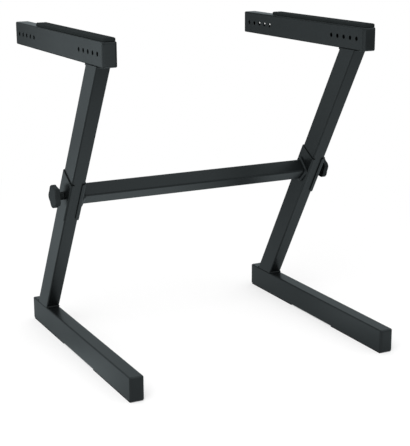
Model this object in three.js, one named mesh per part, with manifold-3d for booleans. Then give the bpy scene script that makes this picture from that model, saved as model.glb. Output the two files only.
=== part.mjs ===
// A Z-shaped stand for an electronic keyboard: two welded side frames of rectangular steel tube,
// joined half way up by a square crossbar, which has a two-part clamp and a hand knob at each end.
// Millimetres. +X is to the right, +Y away from the front and +Z up.
// The origin is on the floor, in the middle of the stand's width and depth.

import * as THREE from 'three';
import { mergeVertices } from 'three/addons/utils/BufferGeometryUtils.js';
import Module from 'manifold-3d';

const wasm = await Module();
wasm.setup();

// Driving dimensions of the stand
const frameSpacing = 607; // between the middles of the two side frames
const footLength = 599; // over its end caps
const armLength = 542; // over its end caps
const armTopHeight = 715; // the arm's bare top above the floor
const legLean = THREE.MathUtils.degToRad(31); // from upright, with the top to the front
const footRearOverhang = 38.5; // foot behind the leg
const armFrontOverhang = 35; // arm in front of the leg

// Fits
const clearance = 0.3; // between pieces that meet, or that slide in one another
const overrun = 5; // how far a cutter reaches past what it cuts

// Rectangular tube of the feet, legs and arms
const tubeWidth = 31.5;
const tubeDepth = 51.5;
const tubeWall = 2;
const tubeCorner = 3; // outer radius

// Push-in end caps
const capThickness = 5;
const capRounding = 3.5;
const plugLength = 18;
const plugWall = 2;
const plugRibHeight = 1.2;
const plugRibThickness = 2;
const plugRibCount = 2;

// Rubber strips between the feet and the floor
const stripHeight = 3; // from the floor to the foot
const stripWidth = 26;
const stripLength = 205;
const stripInset = 3; // from the foot's end
const stripCorner = 4;

// Rubber pads on the arms
const padHeight = 7; // above the arm
const padWidth = 26;
const padLength = 400;
const padInset = 2; // from the arm's front end
const padRounding = 2.5;

// Rows of cross holes near the ends of the arms
const armHoleDiameter = 9;
const armHoleCount = 5;
const armHolePitch = 25.5;
const armHoleInset = 28.5; // from the arm's end to the first hole

// Square tube of the crossbar
const barSide = 35;
const barWall = 1.5;
const barCorner = 4; // outer radius
const barTurn = THREE.MathUtils.degToRad(45); // one edge up, one edge to the front

// Weld beads, as shares of their size from the foot of the bead to its upper edge
const weldSize = 4;
const weldRiseShares = [0, 0.35, 0.75, 1];
const weldSpreadShares = [1, 0.8, 0.35, -0.1];

// Clamp halves, bent from sheet to a U round the leg
const clampLength = 110;
const clampSheet = 2.5;
const clampBend = 2; // inner radius
const flangeDepth = 10; // from the outer face of the side plate to the free edge
const flangeTopCorner = 3;
const flangeBottomCorner = 5;

// Clamp bolt and its nut, without their threads
const boltDiameter = 8;
const boltHoleDiameter = 9;
const boltInKnob = 16; // from the clamp's face
const boltPastNut = 3;
const boltChamfer = 1;
const nutAcrossFlats = 13;
const nutHeight = 6.5;
const nutChamfer = 0.8;
const nutSides = 6;

// Hand knob: a stem and a lobed head that is hollow on the clamp's side
const knobDiameter = 52.4;
const knobStemDiameter = 17.6;
const knobStemHeight = 18.8; // from the clamp to the head's rim
const knobHeadHeight = 8.2;
const knobDome = 1.2; // rise of the head's middle above its edge
const knobRounding = 3.3;
const knobShell = 2.8;
const knobLobeCount = 5;
const knobLobeDepth = 3.1;
const knobRibThickness = 2;
const knobRibDrop = 1; // from the head's rim to the ribs inside it
const knobStemTaper = 1; // how much thicker the stem is in radius at the head

// Where the lobes of each knob happen to stand
const leftKnobTurn = THREE.MathUtils.degToRad(36.7);
const rightKnobTurn = THREE.MathUtils.degToRad(38.6);

// Steps of the rounded forms
const cornerSteps = 4;
const holeSteps = 16;
const plugCornerSteps = 2;
const roundSteps = 32;
const lobeSteps = 12;

// Places that follow from the sizes
const quarterTurn = Math.PI / 2;
const footTop = stripHeight + tubeDepth;
const armUnderside = armTopHeight - tubeDepth;
const legHalfFootprint = tubeDepth / 2 / Math.cos(legLean);
const legRise = armUnderside - footTop;
const legMiddle = new THREE.Vector3(
  0,
  footLength - footRearOverhang - legHalfFootprint - legRise / 2 * Math.tan(legLean),
  footTop + legRise / 2,
);
const legTopY = legMiddle.y - legRise / 2 * Math.tan(legLean);
const armFront = legTopY - legHalfFootprint - armFrontOverhang;
const clampInside = tubeWidth / 2 + clearance;
const clampFace = clampInside + clampSheet;
const clampHalfDepth = tubeDepth / 2 + clearance + clampSheet;

// Finishes
const powderCoat = new THREE.MeshStandardMaterial({ color: 0x1b1e1f, roughness: 0.22, metalness: 0 });
const mouldedPlastic = new THREE.MeshStandardMaterial({ color: 0x1f2222, roughness: 0.4, metalness: 0 });
const softRubber = new THREE.MeshStandardMaterial({ color: 0x262929, roughness: 0.8, metalness: 0 });
const zincSteel = new THREE.MeshStandardMaterial({ color: 0xb4b8ba, roughness: 0.35, metalness: 1 });

// Points along an arc in the XY plane, both ends included.
function arc(centreX, centreY, radius, from, to, steps) {
  return Array.from({ length: steps + 1 }, (_, step) => {
    const angle = from + (to - from) * step / steps;
    return new THREE.Vector2(centreX + radius * Math.cos(angle), centreY + radius * Math.sin(angle));
  });
}

// Counter-clockwise outline of a rectangle with rounded corners, centred on the origin.
function roundedRectangle(width, height, radius, steps = cornerSteps) {
  const x = width / 2 - radius;
  const y = height / 2 - radius;
  return [
    ...arc(x, y, radius, 0, quarterTurn, steps),
    ...arc(-x, y, radius, quarterTurn, 2 * quarterTurn, steps),
    ...arc(-x, -y, radius, 2 * quarterTurn, 3 * quarterTurn, steps),
    ...arc(x, -y, radius, 3 * quarterTurn, 4 * quarterTurn, steps),
  ];
}

// Straight prism of an outline along Z, centred on the origin.
function prism(outline, length) {
  const shape = new THREE.Shape(outline);
  const geometry = new THREE.ExtrudeGeometry(shape, { depth: length, bevelEnabled: false });
  return geometry.translate(0, 0, -length / 2);
}

// Closed skin through level rings of equally many points, with a fan of triangles over each end.
function loft(rings) {
  const count = rings[0].length;
  const lastRing = (rings.length - 1) * count;
  const points = rings.flat();
  for (const ring of [rings[0], rings.at(-1)]) {
    const sum = ring.reduce((total, point) => total.add(point), new THREE.Vector3());
    points.push(sum.divideScalar(count));
  }
  const endMiddle = points.length - 1;
  const startMiddle = endMiddle - 1;
  const index = [];
  for (let i = 0; i < count; i += 1) {
    const next = (i + 1) % count;
    for (let base = 0; base < lastRing; base += count) {
      index.push(base + i, base + next, base + count + next);
      index.push(base + i, base + count + next, base + count + i);
    }
    index.push(startMiddle, next, i);
    index.push(endMiddle, lastRing + i, lastRing + next);
  }
  const geometry = new THREE.BufferGeometry().setFromPoints(points);
  geometry.setIndex(index);
  return geometry;
}

// An outline of the XY plane, lifted to a height.
function ringAt(outline, z) {
  return outline.map((point) => new THREE.Vector3(point.x, point.y, z));
}

// Solid body of a closed geometry, for joins and cuts.
function bodyOf(geometry) {
  const bare = geometry.clone();
  bare.deleteAttribute('normal');
  bare.deleteAttribute('uv');
  const merged = mergeVertices(bare);
  return new wasm.Manifold(new wasm.Mesh({
    numProp: 3,
    vertProperties: merged.attributes.position.array,
    triVerts: Uint32Array.from(merged.index.array),
  }));
}

// Geometry of a solid body.
function geometryOf(body) {
  const { vertProperties, triVerts } = body.getMesh();
  const geometry = new THREE.BufferGeometry();
  geometry.setAttribute('position', new THREE.BufferAttribute(vertProperties, 3));
  geometry.setIndex(new THREE.BufferAttribute(triVerts, 1));
  const faceted = geometry.toNonIndexed();
  faceted.computeVertexNormals();
  return faceted;
}

// Round cutter or pin along X through the origin.
function rodAlongX(diameter, length, steps) {
  return bodyOf(new THREE.CylinderGeometry(diameter / 2, diameter / 2, length, steps).rotateZ(quarterTurn));
}

function piece(name, geometry, finish) {
  const mesh = new THREE.Mesh(geometry, finish);
  mesh.name = name;
  return mesh;
}

// Inside of the rectangular tube, drawn in on each side by a margin.
function tubeBore(margin, steps = plugCornerSteps) {
  const inset = 2 * (tubeWall + margin);
  return roundedRectangle(tubeWidth - inset, tubeDepth - inset, tubeCorner / 2, steps);
}

// Rectangular tube along Z, centred on the origin and open at both ends.
function tubeBody(length) {
  const outside = bodyOf(prism(roundedRectangle(tubeWidth, tubeDepth, tubeCorner), length));
  const inside = bodyOf(prism(tubeBore(0, cornerSteps), length + overrun));
  return outside.subtract(inside);
}

// End cap: a flange with a rounded edge and a hollow ribbed plug. +Z points out of the tube.
function endCap() {
  const flangeRing = (inset, z) => ringAt(
    roundedRectangle(tubeWidth - 2 * inset, tubeDepth - 2 * inset, tubeCorner),
    z,
  );
  const edge = arc(0, capThickness - capRounding, capRounding, 0, quarterTurn, cornerSteps);
  const flange = loft([
    flangeRing(0, 0),
    ...edge.map((point) => flangeRing(capRounding - point.x, point.y)),
  ]);

  const core = tubeBore(clearance + plugRibHeight);
  const rib = bodyOf(prism(tubeBore(clearance), plugRibThickness));
  const ribPitch = (plugLength - plugRibThickness) / plugRibCount;
  let cap = bodyOf(flange);
  const root = capThickness / 2; // how far the plug runs into the flange
  cap = cap.add(bodyOf(prism(core, plugLength + root)).translate(0, 0, (root - plugLength) / 2));
  for (let i = 1; i <= plugRibCount; i += 1) {
    cap = cap.add(rib.translate(0, 0, -i * ribPitch));
  }
  const pocket = bodyOf(prism(tubeBore(clearance + plugRibHeight + plugWall), 2 * plugLength));
  return geometryOf(cap.subtract(pocket.translate(0, 0, -plugLength)));
}

// Tube with its two end caps along +Y from y = 0, in a group. Cuts are made in the tube as it lies along Z.
function cappedTube(names, length, cut) {
  const group = new THREE.Group();
  const tubeLength = length - 2 * (capThickness + clearance);
  const tube = piece(names.tube, geometryOf(cut(tubeBody(tubeLength))), powderCoat);
  tube.rotation.x = -quarterTurn;
  tube.position.y = length / 2;

  const frontCap = piece(names.frontCap, endCap(), mouldedPlastic);
  frontCap.rotation.x = quarterTurn;
  frontCap.position.y = capThickness;

  const rearCap = piece(names.rearCap, endCap(), mouldedPlastic);
  rearCap.rotation.x = -quarterTurn;
  rearCap.position.y = length - capThickness;

  group.add(tube, frontCap, rearCap);
  return group;
}

// Foot with the two strips that it stands on.
function foot(prefix) {
  const names = {
    tube: `${prefix}foot_tube`,
    frontCap: `${prefix}foot_front_cap`,
    rearCap: `${prefix}foot_rear_cap`,
  };
  const group = new THREE.Group();
  const tube = cappedTube(names, footLength, (body) => body);
  tube.position.z = stripHeight + tubeDepth / 2;
  group.add(tube);

  const thickness = stripHeight - clearance;
  const outline = roundedRectangle(stripWidth, stripLength, stripCorner);
  const fromEnd = stripInset + stripLength / 2;
  for (const [name, y] of [['front', fromEnd], ['rear', footLength - fromEnd]]) {
    const strip = piece(`${prefix}${name}_ground_strip`, prism(outline, thickness), softRubber);
    strip.position.set(0, y, thickness / 2);
    group.add(strip);
  }
  return group;
}

// Cross holes through both side walls, in a row from each end of the arm.
function drillArm(body) {
  const drill = rodAlongX(armHoleDiameter, tubeWidth + overrun, holeSteps);
  let drilled = body;
  for (const end of [-1, 1]) {
    for (let i = 0; i < armHoleCount; i += 1) {
      const fromMiddle = armLength / 2 - armHoleInset - i * armHolePitch;
      drilled = drilled.subtract(drill.translate(0, 0, end * fromMiddle));
    }
  }
  return drilled;
}

// Pad with rounded upper edges, along +Y from y = 0 and standing on z = 0.
function pad() {
  const thickness = padHeight - clearance;
  const side = padWidth / 2;
  const outline = [
    new THREE.Vector2(-side, 0),
    new THREE.Vector2(side, 0),
    ...arc(side - padRounding, thickness - padRounding, padRounding, 0, quarterTurn, cornerSteps),
    ...arc(padRounding - side, thickness - padRounding, padRounding, quarterTurn, 2 * quarterTurn, cornerSteps),
  ];
  return prism(outline, padLength).rotateX(quarterTurn).translate(0, padLength / 2, 0);
}

// Arm with its pad.
function arm(prefix) {
  const names = {
    tube: `${prefix}arm_tube`,
    frontCap: `${prefix}arm_front_cap`,
    rearCap: `${prefix}arm_rear_cap`,
  };
  const group = new THREE.Group();
  const tube = cappedTube(names, armLength, drillArm);
  tube.position.z = armTopHeight - tubeDepth / 2;

  const armPad = piece(`${prefix}arm_pad`, pad(), softRubber);
  armPad.position.set(0, padInset, armTopHeight + clearance);
  group.add(tube, armPad);
  return group;
}

// Weld bead across the front and rear of the leg's lower end, in upright axes round the leg's middle line.
function legBead(height) {
  const rings = weldRiseShares.map((rise, i) => {
    const spread = weldSize * weldSpreadShares[i];
    const z = height + weldSize * rise;
    const outline = roundedRectangle(
      tubeWidth - 2 * clearance,
      2 * (legHalfFootprint + spread),
      tubeCorner,
    );
    return ringAt(outline, z).map((point) => {
      point.y -= z * Math.tan(legLean);
      return point;
    });
  });
  return bodyOf(loft(rings));
}

// Leaning leg, cut level at both ends, with its weld beads and the cross hole for the clamp bolt.
function leg(prefix) {
  const halfRise = legRise / 2 - clearance;
  const longEnough = legRise / Math.cos(legLean) + 2 * tubeDepth;
  const level = bodyOf(new THREE.BoxGeometry(2 * tubeWidth, 2 * longEnough, 2 * halfRise));
  const upperBead = legBead(-halfRise).rotate(180, 0, 0);
  const ends = legBead(-halfRise).add(upperBead).rotate(-THREE.MathUtils.radToDeg(legLean), 0, 0);
  const outside = bodyOf(prism(roundedRectangle(tubeWidth, tubeDepth, tubeCorner), longEnough));
  const body = outside
    .intersect(level.rotate(-THREE.MathUtils.radToDeg(legLean), 0, 0))
    .add(ends)
    .subtract(bodyOf(prism(tubeBore(0, cornerSteps), longEnough + overrun)))
    .subtract(rodAlongX(boltHoleDiameter, tubeWidth + overrun, holeSteps));
  return piece(`${prefix}leg_tube`, geometryOf(body), powderCoat);
}

// Clamp half along the leg, with its side plate on the +X or -X side of it.
function clampHalf(name, side) {
  const innerX = clampInside - clampBend;
  const innerY = clampHalfDepth - clampSheet - clampBend;
  const outerBend = clampBend + clampSheet;
  const freeEdge = clampFace - flangeDepth;
  const outline = [
    new THREE.Vector2(freeEdge, -clampHalfDepth),
    ...arc(innerX, -innerY, outerBend, -quarterTurn, 0, cornerSteps),
    ...arc(innerX, innerY, outerBend, 0, quarterTurn, cornerSteps),
    new THREE.Vector2(freeEdge, clampHalfDepth),
    new THREE.Vector2(freeEdge, clampHalfDepth - clampSheet),
    ...arc(innerX, innerY, clampBend, quarterTurn, 0, cornerSteps),
    ...arc(innerX, -innerY, clampBend, 0, -quarterTurn, cornerSteps),
    new THREE.Vector2(freeEdge, clampSheet - clampHalfDepth),
  ];
  const mirrored = outline.map((point) => new THREE.Vector2(side * point.x, point.y));
  const channel = bodyOf(prism(mirrored, clampLength));

  const end = clampLength / 2;
  const front = [
    new THREE.Vector2(clampFace + overrun, -end),
    new THREE.Vector2(clampFace + overrun, end),
    ...arc(freeEdge + flangeTopCorner, end - flangeTopCorner, flangeTopCorner,
      quarterTurn, 2 * quarterTurn, cornerSteps),
    ...arc(freeEdge + flangeBottomCorner, flangeBottomCorner - end, flangeBottomCorner,
      2 * quarterTurn, 3 * quarterTurn, cornerSteps),
  ];
  const trim = prism(
    front.map((point) => new THREE.Vector2(side * point.x, point.y)),
    2 * clampHalfDepth + overrun,
  ).rotateX(quarterTurn);

  const body = channel
    .intersect(bodyOf(trim))
    .subtract(rodAlongX(boltHoleDiameter, 2 * (clampFace + overrun), holeSteps));
  return piece(name, geometryOf(body), powderCoat);
}

// Hexagon nut with chamfered corners, standing on z = 0.
function nut() {
  const cornerRadius = nutAcrossFlats / 2 / Math.cos(Math.PI / nutSides);
  const hexagon = new THREE.CylinderGeometry(cornerRadius, cornerRadius, nutHeight, nutSides);
  const flank = cornerRadius - nutChamfer;
  const turned = new THREE.LatheGeometry([
    new THREE.Vector2(0, -nutHeight / 2),
    new THREE.Vector2(flank, -nutHeight / 2),
    new THREE.Vector2(cornerRadius, nutChamfer - nutHeight / 2),
    new THREE.Vector2(cornerRadius, nutHeight / 2 - nutChamfer),
    new THREE.Vector2(flank, nutHeight / 2),
    new THREE.Vector2(0, nutHeight / 2),
  ], holeSteps);
  const boreRadius = boltDiameter / 2 + clearance;
  const bore = new THREE.CylinderGeometry(boreRadius, boreRadius, nutHeight + overrun, holeSteps);
  const body = bodyOf(hexagon).intersect(bodyOf(turned)).subtract(bodyOf(bore));
  return geometryOf(body).rotateX(quarterTurn).translate(0, 0, nutHeight / 2);
}

// Bolt along Z through the clamp face at z = 0, with its head end held in the knob.
function bolt() {
  const tip = -(2 * clampFace + clearance + nutHeight + boltPastNut);
  const radius = boltDiameter / 2;
  const profile = [
    new THREE.Vector2(0, tip),
    new THREE.Vector2(radius - boltChamfer, tip),
    new THREE.Vector2(radius, tip + boltChamfer),
    new THREE.Vector2(radius, boltInKnob),
    new THREE.Vector2(0, boltInKnob),
  ];
  return new THREE.LatheGeometry(profile, holeSteps).rotateX(quarterTurn);
}

// Outline of the knob's head, drawn in from its edge by an inset, with the first lobe at an angle.
function lobedOutline(inset, turn) {
  const count = knobLobeCount * lobeSteps;
  return Array.from({ length: count }, (_, i) => {
    const angle = 2 * Math.PI * i / count;
    const valleyShare = (1 - Math.cos(knobLobeCount * (angle - turn))) / 2;
    const radius = knobDiameter / 2 - inset - knobLobeDepth * valleyShare;
    return new THREE.Vector2(radius * Math.cos(angle), radius * Math.sin(angle));
  });
}

// Knob along +Z from the clamp face at z = 0.
function knob(turn) {
  const rim = knobStemHeight;
  const top = rim + knobHeadHeight;
  const lobedRing = (inset, z) => ringAt(lobedOutline(inset, turn), z);
  const edge = arc(0, top - knobDome - knobRounding, knobRounding, 0, quarterTurn, cornerSteps);
  const head = loft([
    lobedRing(0, rim),
    ...edge.map((point) => lobedRing(knobRounding - point.x, point.y)),
    lobedRing(knobDiameter / 4, top),
  ]);
  const roof = top - knobDome - knobShell;
  const pocket = loft([
    lobedRing(knobShell, rim - overrun),
    lobedRing(knobShell, rim),
    lobedRing(knobShell + knobRounding / 2, roof),
  ]);

  const stemRadius = knobStemDiameter / 2;
  const stem = new THREE.LatheGeometry([
    new THREE.Vector2(0, clearance),
    new THREE.Vector2(stemRadius, clearance),
    new THREE.Vector2(stemRadius + knobStemTaper, rim),
    new THREE.Vector2(stemRadius + knobStemTaper, roof + knobShell / 2),
    new THREE.Vector2(0, roof + knobShell / 2),
  ], roundSteps).rotateX(quarterTurn);

  const ribReach = knobDiameter / 2 - knobLobeDepth - knobShell / 2;
  const ribHeight = roof + knobShell / 2 - rim - knobRibDrop;
  const rib = bodyOf(new THREE.BoxGeometry(ribReach, knobRibThickness, ribHeight)
    .translate(ribReach / 2, 0, rim + knobRibDrop + ribHeight / 2));
  let body = bodyOf(head).subtract(bodyOf(pocket)).add(bodyOf(stem));
  for (let i = 0; i < knobLobeCount; i += 1) {
    const angle = turn + (i + 1 / 2) * 2 * Math.PI / knobLobeCount;
    body = body.add(rib.rotate(0, 0, THREE.MathUtils.radToDeg(angle)));
  }

  const boreRadius = boltDiameter / 2 + clearance;
  const boreDepth = boltInKnob + clearance;
  const bore = new THREE.CylinderGeometry(boreRadius, boreRadius, boreDepth + overrun, holeSteps)
    .rotateX(quarterTurn)
    .translate(0, 0, (boreDepth - overrun) / 2);
  return geometryOf(body.subtract(bodyOf(bore)));
}

// Both clamp halves, lying along the leg round its middle. The outward side is +1 or -1 along X.
function clamp(prefix, outward) {
  const group = new THREE.Group();
  group.add(clampHalf(`${prefix}clamp_outer_half`, outward));
  group.add(clampHalf(`${prefix}clamp_inner_half`, -outward));
  return group;
}

// Knob, bolt and nut on the cross axis of a leg, which runs outward along +Z in the group.
function clampScrew(prefix, outward, turn) {
  const group = new THREE.Group();
  const knobHead = piece(`${prefix}knob_head`, knob(turn), mouldedPlastic);
  const knobBolt = piece(`${prefix}knob_bolt`, bolt(), zincSteel);
  knobHead.position.z = clampFace;
  knobBolt.position.z = clampFace;

  const clampNut = piece(`${prefix}clamp_nut`, nut(), zincSteel);
  clampNut.position.z = -(clampFace + clearance + nutHeight);
  group.add(knobHead, knobBolt, clampNut);
  group.rotation.y = outward * quarterTurn;
  return group;
}

// One side frame with its clamp, round x = 0 and with the front end of its foot at y = 0.
function sideFrame(prefix, outward, knobTurn) {
  const frame = new THREE.Group();
  const upperArm = arm(prefix);
  upperArm.position.y = armFront;

  const alongLeg = new THREE.Group();
  alongLeg.position.copy(legMiddle);
  alongLeg.rotation.x = legLean;
  alongLeg.add(leg(prefix), clamp(prefix, outward));

  const screw = clampScrew(prefix, outward, knobTurn);
  screw.position.copy(legMiddle);
  frame.add(foot(prefix), alongLeg, upperArm, screw);
  return frame;
}

// Crossbar between the inner clamp halves, with a weld bead round each end.
function crossbar() {
  const length = frameSpacing - 2 * (clampFace + clearance);
  const bead = bodyOf(loft(weldRiseShares.map((rise, i) => {
    const side = barSide + 2 * weldSize * weldSpreadShares[i];
    return ringAt(roundedRectangle(side, side, barCorner), weldSize * rise - length / 2);
  })));
  const boreSide = barSide - 2 * barWall;
  const bore = bodyOf(prism(roundedRectangle(boreSide, boreSide, barCorner / 2), length + overrun));
  const body = bodyOf(prism(roundedRectangle(barSide, barSide, barCorner), length))
    .add(bead)
    .add(bead.rotate(0, 180, 0))
    .subtract(bore);
  const bar = piece('crossbar_tube', geometryOf(body).rotateZ(barTurn).rotateY(quarterTurn), powderCoat);
  bar.position.copy(legMiddle);
  return bar;
}

const stand = new THREE.Group();
const leftFrame = sideFrame('left_', -1, leftKnobTurn);
const rightFrame = sideFrame('right_', 1, rightKnobTurn);
leftFrame.position.x = -frameSpacing / 2;
rightFrame.position.x = frameSpacing / 2;
stand.add(leftFrame, rightFrame, crossbar());

// The middle of the depth, from the foremost to the rearmost end of the feet and arms
const foremost = Math.min(0, armFront);
const rearmost = Math.max(footLength, armFront + armLength);
stand.position.y = -(foremost + rearmost) / 2;

export default stand;
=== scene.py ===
"""Looks of the keyboard stand: finely rounded tubes, welds, clamps, knobs, pads and their finishes."""

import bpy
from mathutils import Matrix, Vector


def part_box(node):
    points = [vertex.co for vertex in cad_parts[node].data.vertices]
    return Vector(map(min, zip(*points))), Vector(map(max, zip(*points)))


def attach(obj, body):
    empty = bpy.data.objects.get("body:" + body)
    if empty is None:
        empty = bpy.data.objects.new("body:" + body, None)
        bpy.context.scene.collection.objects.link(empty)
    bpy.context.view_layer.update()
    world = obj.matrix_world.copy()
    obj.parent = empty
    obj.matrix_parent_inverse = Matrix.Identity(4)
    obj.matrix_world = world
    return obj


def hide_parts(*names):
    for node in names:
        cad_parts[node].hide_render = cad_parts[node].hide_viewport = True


bl_info = {
    "name": "Keyboard Stand Looks",
    "version": (1, 0, 0),
    "blender": (4, 5, 0),
    "location": "3D View > Sidebar > Stand",
    "description": "Dresses the packed keyboard stand with its finished surfaces, and sets its studio",
    "category": "Object",
}

import math

import bmesh
import bpy
from mathutils import Matrix, Vector

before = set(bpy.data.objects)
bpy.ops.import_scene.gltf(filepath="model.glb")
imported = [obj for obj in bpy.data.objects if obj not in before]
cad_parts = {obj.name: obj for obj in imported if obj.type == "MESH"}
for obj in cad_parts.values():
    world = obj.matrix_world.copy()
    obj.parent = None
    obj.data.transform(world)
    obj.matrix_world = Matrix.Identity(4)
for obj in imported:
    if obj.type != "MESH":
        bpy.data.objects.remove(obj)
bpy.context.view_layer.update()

SIDES = {"left": -1, "right": 1}
ENDS = {"front": -1, "rear": 1}
FRAME_BODY = "stand_frame"
QUARTER = math.pi / 2
SMOOTH_ANGLE = math.radians(35)
BAR_TURN = Matrix.Rotation(math.radians(45), 2)

# Steps round the bends and small edges, and sides of the round forms
BEND_STEPS = 8
EDGE_STEPS = 3
HOLE_SIDES = 40
BEAD_SIDES = 14
RIPPLE_STEPS = 6.0
RIB_SIDES = 12

# Small lengths and shares of the pieces
FIT_GAP = 0.0003  # between pieces that meet
CAP_EDGE = 0.0004  # rounding of a cap's edge at the tube
CAP_FLAT = 0.0006  # from a cap's rounding inward to its last ring
CAP_CORNER_SHARE = 0.4  # share of the rounding that a cap's corners grow by
PAD_FOOT = 0.0006  # rounding of a pad's lower edges
PAD_END = 0.0008  # length over which a pad draws in at its ends
PAD_END_SHARES = ((0.0, 0.94), (0.3, 0.985), (1.0, 1.0))  # shares of that length and of the section
EDGE_SHARE = 0.3  # place of the ring between the ends of a strip's small edges
TIP_SHARE = 0.45  # share of the sheet that the rounding of its free edge may take
SUNK_SHARE = 0.35  # share of a bead's radius that lies in the tube
BEAD_END_SHARE = 0.3  # share of the tube's corner that a bead leaves free at its ends
RIB_MEETING = 1e-6  # radius round a knob's axis where its ribs start

# From the end of an arc to the point that keeps the straight line after it flat
TUBE_EASE = 0.0004
PAD_EASE = 0.0003
SHEET_EASE = 0.0002


def distance(name, description, default):
    """A length property in metres."""
    return bpy.props.FloatProperty(
        name=name, description=description, default=default, min=0.0, subtype="DISTANCE", unit="LENGTH"
    )


def angle(name, description, default):
    """An angle property, its default given in degrees."""
    return bpy.props.FloatProperty(
        name=name, description=description, default=math.radians(default), subtype="ANGLE", unit="ROTATION"
    )


def colour(name, description, default):
    """A linear colour property."""
    return bpy.props.FloatVectorProperty(
        name=name, description=description, default=default, size=3, min=0.0, max=1.0, subtype="COLOR"
    )


def location(name, description, default):
    """A place in metres."""
    return bpy.props.FloatVectorProperty(
        name=name, description=description, default=default, size=3, subtype="TRANSLATION", unit="LENGTH"
    )


def whole_number(name, description, default):
    """How many of something."""
    return bpy.props.IntProperty(name=name, description=description, default=default, min=1)


def number(name, description, default, **kind):
    """A number that isn't a length or an angle."""
    return bpy.props.FloatProperty(name=name, description=description, default=default, min=0.0, **kind)


class StandTubes(bpy.types.PropertyGroup):
    """Sizes of the rectangular and square tubes."""

    wall: distance("Tube wall", "Wall of the foot, leg and arm tubes", 0.002)
    corner: distance("Tube corner", "Outer corner radius of the foot, leg and arm tubes", 0.003)
    foot_drop: distance("Foot drop", "How much lower the feet's undersides lie than their solids'", 0.0014)
    lean: angle("Leg lean", "How far the legs lean forward from upright", 31)
    hole: distance("Arm hole", "Diameter of the cross holes in the arms", 0.0098)
    hole_pitch: distance("Hole pitch", "Distance between neighbouring cross holes", 0.0255)
    hole_inset: distance("Hole inset", "From the arm's end to its first cross hole", 0.0285)
    hole_count: whole_number("Holes in a row", "Cross holes near each end of an arm", 5)
    bar_side: distance("Crossbar side", "Side of the crossbar's square tube", 0.035)
    bar_wall: distance("Crossbar wall", "Wall of the crossbar", 0.0015)
    bar_corner: distance("Crossbar corner", "Outer corner radius of the crossbar", 0.004)
    bolt_hole: distance("Bolt hole", "Diameter of the clamp bolt's holes", 0.009)


class StandWelds(bpy.types.PropertyGroup):
    """Sizes of the weld beads."""

    radius: distance("Bead radius", "Radius of the weld beads at the legs' ends", 0.0026)
    bar_radius: distance("Crossbar bead radius", "Radius of the weld beads round the crossbar's ends", 0.0046)
    ripple: distance("Ripple pitch", "Distance between a weld bead's ripples", 0.0022)
    ripple_share: number("Ripple height", "Share of the radius that a ripple rises by", 0.1)


class StandCaps(bpy.types.PropertyGroup):
    """Sizes of the end caps."""

    thickness: distance("Cap thickness", "Part of an end cap that stays outside the tube", 0.005)
    rounding: distance("Cap rounding", "How far the cap's outer face draws in round its edge", 0.0052)
    rounding_depth: distance("Rounding depth", "How deep that rounding runs along the cap", 0.0045)
    plug: distance("Cap plug", "Part of an end cap that goes into the tube", 0.018)


class StandPads(bpy.types.PropertyGroup):
    """Sizes of the arm pads and the ground strips."""

    rounding: distance("Pad rounding", "Radius along the pad's upper edges", 0.0022)
    rise: distance("Pad rise", "How much higher a pad stands than its solid", 0.0012)
    rib_count: whole_number("Pad ribs", "Low ribs along the top of a pad", 6)
    rib_width: distance("Rib width", "Width of a rib on a pad", 0.0026)
    rib_height: distance("Rib height", "Height of a rib above the pad between the ribs", 0.0008)
    strip_width: distance("Strip width", "Width of the strips under the feet", 0.0300)
    strip_rounding: distance("Strip rounding", "Radius round the strips' edges", 0.0007)
    strip_inset: distance("Strip inset", "From an end cap's face back to the strip under it", 0.0045)


class StandClamps(bpy.types.PropertyGroup):
    """Sizes of the clamp halves."""

    length: distance("Clamp length", "Length of a clamp half along the leg", 0.106)
    sheet: distance("Clamp sheet", "Thickness of the bent sheet", 0.0025)
    bend: distance("Clamp bend", "Inner radius of the sheet's bends", 0.002)
    edge: distance("Sheet edge", "Radius that the coat gives the sheet's edges", 0.0004)
    top_corner: distance("Upper corner", "Radius of a flange's upper corner", 0.003)
    bottom_corner: distance("Lower corner", "Radius of a flange's lower corner", 0.005)


class StandKnobs(bpy.types.PropertyGroup):
    """Sizes of the hand knobs."""

    diameter: distance("Knob diameter", "Diameter over the lobes", 0.0530)
    lobes: whole_number("Lobes", "Lobes round a knob", 5)
    lobe_depth: distance("Lobe depth", "How far the knob draws in between its lobes", 0.0038)
    stem: distance("Stem diameter", "Diameter of the stem at the clamp", 0.0176)
    stem_height: distance("Stem height", "From the clamp to the head's rim", 0.0142)
    head: distance("Head height", "From the head's rim to its top", 0.0128)
    dome: distance("Head dome", "Rise of the head's middle above its edge", 0.0012)
    rounding: distance("Head rounding", "Radius round the head's upper edge", 0.0033)
    shell: distance("Head shell", "Wall of the hollow head", 0.0028)
    taper: distance("Stem taper", "How much thicker the stem is in radius at the head", 0.001)
    bore: distance("Stem bore", "Diameter of the hole for the bolt", 0.0086)
    bore_depth: distance("Bore depth", "From the clamp to the end of the bolt's hole", 0.0163)
    rib: distance("Rib thickness", "Thickness of a rib inside the head", 0.002)
    left_turn: angle("Left knob turn", "Where the left knob's lobes stand", 24)
    right_turn: angle("Right knob turn", "Where the right knob's lobes stand", 38.6)


class StandFinishes(bpy.types.PropertyGroup):
    """Colours of the finishes."""

    coat: colour("Powder coat", "Gloss black coat of the steel", (0.0052, 0.0064, 0.0067))
    plastic: colour("Knob plastic", "Grained black plastic of the knobs", (0.0180, 0.0208, 0.0213))
    cap: colour("Cap plastic", "Smooth black plastic of the end caps", (0.0105, 0.0125, 0.0130))
    rubber: colour("Rubber", "Black rubber of pads and strips", (0.0155, 0.0185, 0.0188))
    zinc: colour("Zinc", "Zinc plating of bolts and nuts", (0.60, 0.61, 0.62))


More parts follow.
